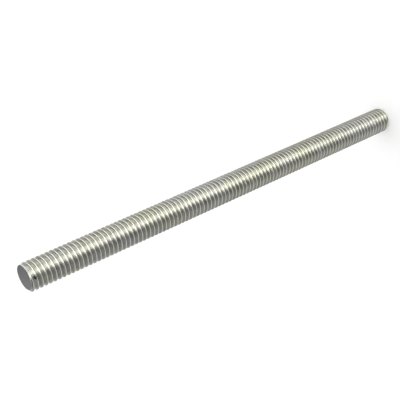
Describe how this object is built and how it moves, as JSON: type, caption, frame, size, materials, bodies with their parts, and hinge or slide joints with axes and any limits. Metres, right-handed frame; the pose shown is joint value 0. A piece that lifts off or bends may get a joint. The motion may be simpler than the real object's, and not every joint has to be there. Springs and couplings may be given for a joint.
{
  "type": "threaded rod",
  "caption": "Straight steel rod with a right-hand thread along its whole length and a flat, deburred face at each end.",
  "frame": {"origin": "centre of the lower end face, on the axis of the rod", "axes": "+Z along the axis of the rod, from the lower end face to the upper one; the groove of the thread runs out at the upper end face on the -X side"},
  "size_m": [0.006, 0.0058, 0.1],
  "materials": {
    "zinc_steel": "zinc plated, satin, with bare sawn ends"
  },
  "bodies": {
    "root": {"threaded_rod": "zinc_steel"}
  },
  "joints": []
}
